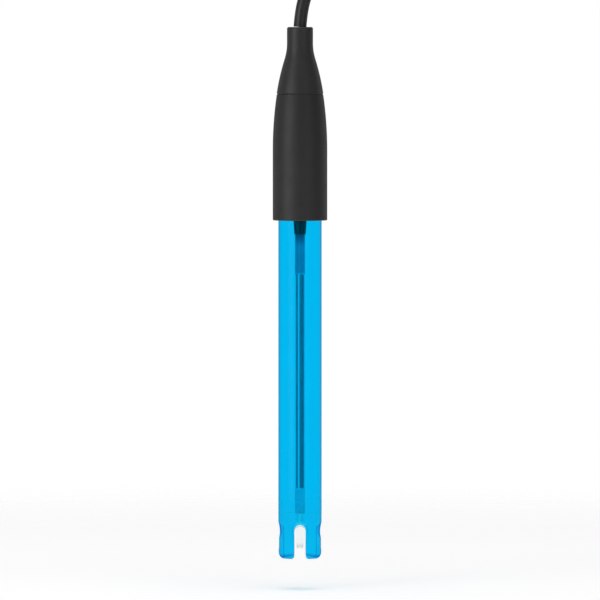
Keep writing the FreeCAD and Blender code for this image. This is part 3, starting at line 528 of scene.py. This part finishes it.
def makeMetal(name, look):
    material, tree, shader, vector = startMaterial(name, (plugAxis.x, plugAxis.y, 0.0))
    rings = useGroup(tree, turnedGroup, vector, -6, 0, Pitch=look["pitch"])
    edgeWearAndShade = useGroup(tree, edgeGroup, vector, -6, 2, Radius=look["edge"] * mm)
    dust = useGroup(tree, dustGroup, vector, -6, 4, Marks=metalWear["marks"])
    body = mixColours(tree, spreadMask(tree, dust.outputs["Smudge"], 0.0, metalWear["tarnish"], -5, 5),
                      look["colour"], look["tarnish"], -4, 0)
    bright = [min(part * metalWear["brighter"], 1.0) for part in look["colour"]]
    edged = mixColours(tree, spreadMask(tree, edgeWearAndShade.outputs["Edge"], 0.0, metalWear["edge"], -5, 2),
                       body, bright, -3, 0)
    dusty = mixColours(tree, spreadMask(tree, dust.outputs["Dust"], 0.0, metalWear["dust"], -5, 4),
                       edged, dustColour, -2, 0)
    tree.links.new(dusty, shader.inputs["Base Color"])
    shader.inputs["Metallic"].default_value = 1.0
    low, high = look["rough"]
    ringed = spreadMask(tree, rings.outputs["Rings"], low, high, -4, 3)
    tree.links.new(ringed, shader.inputs["Roughness"])
    addBump(tree, shader, rings.outputs["Height"], look["depth"], metalWear["bump"], edgeWearAndShade.outputs["Normal"])
    return material


clearLooks = {
    # name: colour of its skin, and a darker colour at a grazing view, which is painted shade on its edges;
    # radius in mm inside which it is colourless
    "clear_blue_shaft": {"colour": (0.0005, 0.500, 0.905), "paintedGrazingShade": (0.0020, 0.260, 0.500), "skin": 5.3,
                         "ior": 1.012, "rough": (0.02, 0.06), "coat": 0.07, "depth": 0.000003},
    "inner_tube_plastic": {"colour": (0.90, 0.92, 0.94), "paintedGrazingShade": (0.60, 0.66, 0.72), "skin": 1.25,
                           "ior": 1.003, "rough": (0.02, 0.06), "coat": 0.10, "depth": 0.000002},
    "membrane_glass": {"colour": (0.985, 0.990, 0.992), "paintedGrazingShade": (0.80, 0.82, 0.83), "skin": 0.9,
                       "ior": 1.02, "rough": (0.0, 0.02), "coat": 0.15, "depth": 0.000001},
    "buffer_liquid": {"colour": (0.990, 0.995, 0.997), "paintedGrazingShade": (0.98, 0.99, 0.99), "skin": 0.0,
                      "ior": 1.001, "rough": (0.0, 0.01), "coat": 0.0, "depth": 0.000001},
    "clear_gel": {"colour": (0.990, 0.997, 1.0), "paintedGrazingShade": (0.98, 0.99, 1.0), "skin": 0.0,
                  "ior": 1.001, "rough": (0.0, 0.01), "coat": 0.0, "depth": 0.000001},
    "clear_seal": {"colour": (0.985, 0.995, 1.0), "paintedGrazingShade": (0.98, 0.99, 1.0), "skin": 0.0,
                   "ior": 1.001, "rough": (0.0, 0.02), "coat": 0.0, "depth": 0.000001},
}
clearInside = (0.995, 0.998, 1.0)
clearGrain = {"fine": 1500.0, "coarse": 90.0, "marks": 180.0, "fainter": 0.97, "bump": 0.3}
clearView = {"grazingSpan": (0.30, 1.0), "coatRough": 0.05}
paintedHeightShades = {
    # painted shade on clear pieces, darker over stretches of height: name: height in mm where the painted
    # shade starts, where it is full, and its colour
    "inner_tube_plastic": ((-218.4, -219.2, (0.66, 0.70, 0.76)), (-159.8, -158.6, (0.28, 0.34, 0.45)),
                           (-151.8, -148.4, (0.020, 0.090, 0.170))),
    "membrane_glass": ((-233.6, -234.9, (0.72, 0.74, 0.75)),),
}
paintedGuardShade = {
    # painted shade: the guard's edges and foot are painted darker than its walls, starting below these
    # heights in mm
    "name": "clear_blue_shaft",
    "from": -228.3,
    "full": -228.9,
    "radius": 0.40,
    "colour": (0.010, 0.230, 0.410),
    "footFrom": -236.9,
    "footFull": -237.6,
    "footColour": (0.0030, 0.440, 0.780),
}
skinEffect = {
    "softness": (-0.0002, 0.0002),  # metres either side of the radius
    "outward": (0.285, 0.325),  # how squarely a face must look away from the axis
}


def makeSkinGroup():
    # 1 on a round piece's outside, 0 within a radius of its upright axis and on walls cut into it
    group, takes, gives = newGroup(
        "outerSkin",
        [("Vector", "NodeSocketVector", None), ("Radius", "NodeSocketFloat", 0.005)],
        [("Skin", "NodeSocketFloat")])
    flat = addNode(group, "ShaderNodeVectorMath", -5, 0, operation="MULTIPLY")
    flat.inputs[1].default_value = (1.0, 1.0, 0.0)
    reach = addNode(group, "ShaderNodeVectorMath", -4, 0, operation="LENGTH")
    past = addNode(group, "ShaderNodeMath", -3, 0, operation="SUBTRACT")
    soften = mapRange(group, past.outputs["Value"], skinEffect["softness"], -2, 0, smooth=True)
    even = addNode(group, "ShaderNodeVectorMath", -3, 2, operation="NORMALIZE")
    true = addNode(group, "ShaderNodeNewGeometry", -3, 4)
    away = addNode(group, "ShaderNodeVectorMath", -2, 2, operation="DOT_PRODUCT")
    size = addNode(group, "ShaderNodeMath", -1, 2, operation="ABSOLUTE")
    outward = mapRange(group, size.outputs["Value"], skinEffect["outward"], 0, 2, smooth=True)
    both = addNode(group, "ShaderNodeMath", 1, 0, operation="MULTIPLY")
    group.links.new(takes.outputs["Vector"], flat.inputs[0])
    group.links.new(flat.outputs["Vector"], reach.inputs[0])
    group.links.new(reach.outputs["Value"], past.inputs[0])
    group.links.new(takes.outputs["Radius"], past.inputs[1])
    group.links.new(flat.outputs["Vector"], even.inputs[0])
    group.links.new(even.outputs["Vector"], away.inputs[0])
    group.links.new(true.outputs["True Normal"], away.inputs[1])
    group.links.new(away.outputs["Value"], size.inputs[0])
    group.links.new(soften, both.inputs[0])
    group.links.new(outward, both.inputs[1])
    group.links.new(both.outputs["Value"], gives.inputs["Skin"])
    return group


skinGroup = makeSkinGroup()


def riseMask(tree, vector, start, full, across, down):
    # goes from 0 to 1 between two heights, given in mm
    split = addNode(tree, "ShaderNodeSeparateXYZ", across - 2, down)
    tree.links.new(vector, split.inputs["Vector"])
    return mapRange(tree, split.outputs["Z"], (start * mm, full * mm), across, down, smooth=True)


def makeClear(name, look):
    material, tree, shader, vector = startMaterial(name)
    grain = useGroup(tree, grainGroup, vector, -6, 0, Fine=clearGrain["fine"], Coarse=clearGrain["coarse"])
    skin = useGroup(tree, skinGroup, vector, -6, 1, Radius=look["skin"] * mm)
    dust = useGroup(tree, dustGroup, vector, -6, 3, Marks=clearGrain["marks"])
    faint = [part * clearGrain["fainter"] for part in look["colour"]]
    body = mixColours(tree, grain.outputs["Mottle"], look["colour"], faint, -5, 0)
    # painted shade: darker stretches of the clear piece by height
    for row, (start, full, colour) in enumerate(paintedHeightShades.get(name, ())):
        body = mixColours(tree, riseMask(tree, vector, start, full, -6, 8 + row), body, colour, -5, 8 + row)
    # painted shade: the colour darkens where the surface is seen at a grazing angle
    grazing = addNode(tree, "ShaderNodeLayerWeight", -6, 5)
    slant = mapRange(tree, grazing.outputs["Facing"], clearView["grazingSpan"], -5, 5, smooth=True)
    rimmed = mixColours(tree, slant, body, look["paintedGrazingShade"], -4, 0)
    shown = mixColours(tree, skin.outputs["Skin"], clearInside, rimmed, -3, 0)
    # painted shade: the guard's foot and edges are painted darker than its walls
    if name == paintedGuardShade["name"]:
        foot = riseMask(tree, vector, paintedGuardShade["footFrom"], paintedGuardShade["footFull"], -5, 6)
        shown = mixColours(tree, foot, shown, paintedGuardShade["footColour"], -3, 1)
        # the edge mask here carries painted shade, not wear
        edgeWearAndShade = useGroup(tree, edgeGroup, vector, -6, 2, Radius=paintedGuardShade["radius"] * mm)
        guard = riseMask(tree, vector, paintedGuardShade["from"], paintedGuardShade["full"], -5, 2)
        lowEdge = addNode(tree, "ShaderNodeMath", -4, 2, operation="MULTIPLY")
        tree.links.new(edgeWearAndShade.outputs["Plain"], lowEdge.inputs[0])
        tree.links.new(guard, lowEdge.inputs[1])
        shown = mixColours(tree, lowEdge.outputs["Value"], shown, paintedGuardShade["colour"], -2, 0)
    tree.links.new(shown, shader.inputs["Base Color"])
    shader.inputs["Transmission Weight"].default_value = 1.0
    shader.inputs["IOR"].default_value = look["ior"]
    shader.inputs["Coat Weight"].default_value = look["coat"]
    shader.inputs["Coat Roughness"].default_value = clearView["coatRough"]
    low, high = look["rough"]
    rough = spreadMask(tree, dust.outputs["Smudge"], low, high, -4, 3)
    tree.links.new(rough, shader.inputs["Roughness"])
    addBump(tree, shader, grain.outputs["Height"], look["depth"], clearGrain["bump"])
    return material


wovenLooks = {
    # name: colour, that of the upper yarns, how metallic, roughness, yarns per metre, depth, sheen
    "tie_fabric": {"colour": (0.0120, 0.0120, 0.0135), "over": (0.0340, 0.0340, 0.0370), "metal": 0.0,
                   "rough": (0.80, 0.95), "yarns": 7000.0, "depth": 0.00012, "sheen": 0.35},
    "braid_copper": {"colour": (0.40, 0.30, 0.22), "over": (0.78, 0.66, 0.55), "metal": 1.0,
                     "rough": (0.28, 0.45), "yarns": 9000.0, "depth": 0.00010, "sheen": 0.0},
}
wovenLay = {"turn": (38.0, 0.0, 45.0), "dust": 0.15, "bump": 0.8}  # the yarns' turn is in degrees


def makeWoven(name, look):
    material, tree, shader, vector = startMaterial(name)
    turn = addNode(tree, "ShaderNodeMapping", -7, 2)
    turn.inputs["Rotation"].default_value = [math.radians(part) for part in wovenLay["turn"]]
    tree.links.new(vector, turn.inputs["Vector"])
    weave = useGroup(tree, weaveGroup, turn.outputs["Vector"], -6, 0, Yarns=look["yarns"])
    dust = useGroup(tree, dustGroup, vector, -6, 3)
    body = mixColours(tree, weave.outputs["Over"], look["colour"], look["over"], -4, 0)
    dusty = mixColours(tree, spreadMask(tree, dust.outputs["Dust"], 0.0, wovenLay["dust"], -5, 3),
                       body, dustColour, -2, 0)
    tree.links.new(dusty, shader.inputs["Base Color"])
    shader.inputs["Metallic"].default_value = look["metal"]
    shader.inputs["Sheen Weight"].default_value = look["sheen"]
    low, high = look["rough"]
    rough = spreadMask(tree, weave.outputs["Over"], high, low, -4, 3)
    tree.links.new(rough, shader.inputs["Roughness"])
    addBump(tree, shader, weave.outputs["Height"], look["depth"], wovenLay["bump"])
    return material


finishes = {name: makeMoulded(name, look) for name, look in mouldedLooks.items()}
finishes.update({name: makeMetal(name, look) for name, look in metalLooks.items()})
finishes.update({name: makeClear(name, look) for name, look in clearLooks.items()})
finishes.update({name: makeWoven(name, look) for name, look in wovenLooks.items()})
print("stage: materials", len(finishes))


def finishNodes():
    for part in frame["record"]["subparts"]:
        mesh = nodes[part["node"]].data
        mesh.materials.clear()
        mesh.materials.append(finishes[part["material_slot"]])


cableLook = {
    "diameter": 3.6 * mm,
    "length": 1.0,  # metres
    "coilHeight": 74.6,  # above the boot's top, in mm
    "coilRadius": 21.6,  # to the middle of the bundle
    "turnsFrom": 11.25,  # degrees, the first point on the coil
    "pointsPerTurn": 16,
    "pointsInAll": 104,
    "cutIn": 0.981,  # the line runs this much inside its points
    # the lay of the seven strands, from the coil's outer back to its outer front: how far out of
    # the bundle's middle, and y
    "strands": ((3.12, 1.8), (0.0, 3.6), (-3.12, 1.8), (0.0, 0.0),
                (-3.12, -1.8), (0.0, -3.6), (3.12, -1.8)),
    "tiedAt": 270.0,  # degrees, where a turn crosses to the next strand
    "smoothness": 6,  # how finely its line and its round are divided
    "curveOrder": 3,
}
# the cable's path before and after its coil: x, y and height above the boot's top, in mm
leadRoute = ((0.0, 0.0, 0.0), (0.3, 0.0, 4.0), (1.6, 0.0, 9.3), (5.0, 0.2, 16.4), (10.4, 0.5, 24.6),
             (15.4, 0.9, 34.2), (19.6, 1.3, 44.6), (22.6, 1.6, 56.0), (24.4, 1.8, 67.6))
tailRoute = ((-24.5, -1.8, 70.2), (-25.0, -1.9, 62.8), (-24.7, -2.0, 55.5))


def coilRoute():
    points = []
    for step in range(cableLook["pointsInAll"]):
        angle = cableLook["turnsFrom"] + step * 360.0 / cableLook["pointsPerTurn"]
        strand = int((angle + 360.0 - cableLook["tiedAt"]) // 360.0)
        out, depth = cableLook["strands"][strand]
        radius = (cableLook["coilRadius"] + out) / cableLook["cutIn"]
        turn = math.radians(angle)
        points.append((radius * math.cos(turn), depth,
                       cableLook["coilHeight"] + radius * math.sin(turn)))
    return points


def makeCable():
    data = bpy.data.curves.new("probe_cable", "CURVE")
    data.dimensions = "3D"
    data.resolution_u = cableLook["smoothness"]
    data.bevel_depth = cableLook["diameter"] / 2
    data.bevel_resolution = cableLook["smoothness"]
    data.use_fill_caps = True
    route = [*leadRoute, *coilRoute(), *tailRoute]
    line = data.splines.new("NURBS")
    line.points.add(len(route) - 1)
    for point, (x, y, height) in zip(line.points, route):
        point.co = (x * mm, y * mm, bootTop + height * mm, 1.0)
    line.order_u = cableLook["curveOrder"]
    line.use_endpoint_u = True
    cable = bpy.data.objects.new("probe_cable", data)
    bpy.context.scene.collection.objects.link(cable)
    data.materials.append(finishes["cable_jacket"])
    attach(cable, "root")
    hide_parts("cable_lead", "cable_coil", "cable_tail")
    return cable


cable = makeCable()
print("stage: cable")


def addFinish(piece, kind, **settings):
    # adds a modifier to a piece and applies it
    bpy.context.view_layer.objects.active = piece
    modifier = piece.modifiers.new(kind.title(), kind)
    for key, value in settings.items():
        setattr(modifier, key, value)
    bpy.ops.object.modifier_apply(modifier=modifier.name)


strapLook = {
    # mm, and the arc of the coil that it covers in degrees
    "sides": 6,
    "reach": 4.97,  # from the bundle's middle to each flat side
    "cornerRound": 1.15,
    "cornerSteps": 5,
    "arc": 34.0,
    "arcSteps": 10,
    "thickness": 0.55,
    "edgeRound": 0.12,
    "edgeSteps": 2,
    "lapFrom": -1.2,  # the lap lies on faces in front of this y
    "lapTurn": 0.3,  # and not on faces that look further back than this
    "lapLift": 0.62,
}


def makeStrap():
    look = strapLook
    centre = bootTop + cableLook["coilHeight"] * mm
    middle = centre - cableLook["coilRadius"] * mm
    deselectAll()
    bpy.ops.mesh.primitive_circle_add(
        vertices=look["sides"], radius=look["reach"] * mm / math.cos(math.pi / look["sides"]),
        location=(0.0, 0.0, middle), rotation=(0.0, math.radians(90.0), 0.0))
    strap = bpy.context.object
    strap.name = "coil_strap"
    bpy.ops.object.transform_apply(location=True, rotation=True, scale=True)
    bpy.ops.object.mode_set(mode="EDIT")
    bpy.ops.mesh.select_all(action="SELECT")
    bpy.ops.mesh.bevel(affect="VERTICES", offset=look["cornerRound"] * mm, segments=look["cornerSteps"])
    bpy.ops.mesh.select_all(action="SELECT")
    bpy.ops.mesh.spin(steps=look["arcSteps"], angle=math.radians(look["arc"]), center=(0.0, 0.0, centre),
                      axis=(0.0, 1.0, 0.0))
    bpy.ops.object.mode_set(mode="OBJECT")
    # turn the band about the coil's axis until it hangs straight below it
    lean = math.atan2(sum(v.co.x for v in strap.data.vertices),
                      sum(centre - v.co.z for v in strap.data.vertices))
    bpy.ops.object.mode_set(mode="EDIT")
    bpy.ops.mesh.select_all(action="SELECT")
    bpy.ops.transform.rotate(value=-lean, orient_axis="Y", center_override=(0.0, 0.0, centre))
    bpy.ops.mesh.remove_doubles(threshold=sameSpot)
    bpy.ops.mesh.normals_make_consistent(inside=False)
    bpy.ops.mesh.select_all(action="DESELECT")
    bpy.ops.object.mode_set(mode="OBJECT")
    for face in strap.data.polygons:  # the lap: the front of the band, laid on once more
        face.select = face.center.y < look["lapFrom"] * mm and face.normal.y < look["lapTurn"]
    bpy.ops.object.mode_set(mode="EDIT")
    bpy.ops.mesh.duplicate()
    bpy.ops.transform.shrink_fatten(value=look["lapLift"] * mm)
    bpy.ops.object.mode_set(mode="OBJECT")
    addFinish(strap, "SOLIDIFY", thickness=look["thickness"] * mm, offset=1.0, use_even_offset=True)
    addFinish(strap, "BEVEL", width=look["edgeRound"] * mm, segments=look["edgeSteps"],
              limit_method="ANGLE")
    addFinish(strap, "SUBSURF", levels=1, render_levels=1)
    bpy.ops.object.shade_smooth()
    strap.data.materials.append(finishes["tie_fabric"])
    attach(strap, "root")
    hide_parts("cable_tie")
    return strap


strap = makeStrap()
print("stage: strap")


elementLook = {
    # the two coated rods and the gap that lets light through: x from the axis and radius, in mm
    "element_left": (-0.86, 0.22),
    "element_right": (0.46, 0.56),
}
rodLook = {
    "finish": "silver_chloride",
    "sides": 20,
    "endShare": 0.55,  # how much of a rod's radius its rounded ends take
    "endSteps": 3,
    "smoothAngle": 50.0,
}


def makeElement():
    low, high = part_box("inner_element")
    for name, (across, radius) in elementLook.items():
        deselectAll()
        bpy.ops.mesh.primitive_cylinder_add(
            vertices=rodLook["sides"], radius=radius * mm, depth=high.z - low.z,
            location=(across * mm, 0.0, (low.z + high.z) / 2))
        rod = bpy.context.object
        rod.name = name
        bpy.ops.object.transform_apply(location=True, rotation=True, scale=True)
        for edge in rod.data.edges:
            first, last = (rod.data.vertices[i].co.z for i in edge.vertices)
            edge.select = abs(first - last) < sameSpot
        bpy.ops.object.mode_set(mode="EDIT")
        bpy.ops.mesh.select_mode(type="EDGE")
        bpy.ops.mesh.bevel(offset=radius * mm * rodLook["endShare"], segments=rodLook["endSteps"])
        bpy.ops.object.mode_set(mode="OBJECT")
        bpy.ops.object.shade_smooth_by_angle(angle=math.radians(rodLook["smoothAngle"]))
        rod.data.materials.append(finishes[rodLook["finish"]])
        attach(rod, "root")
        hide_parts("inner_element")


makeElement()
print("stage: inner element")
finishNodes()
print("stage: finishes on the CAD nodes")


def squashSpring():
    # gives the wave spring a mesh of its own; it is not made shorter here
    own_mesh(nodes["wave_spring"])


squashSpring()
print("stage: wave spring")
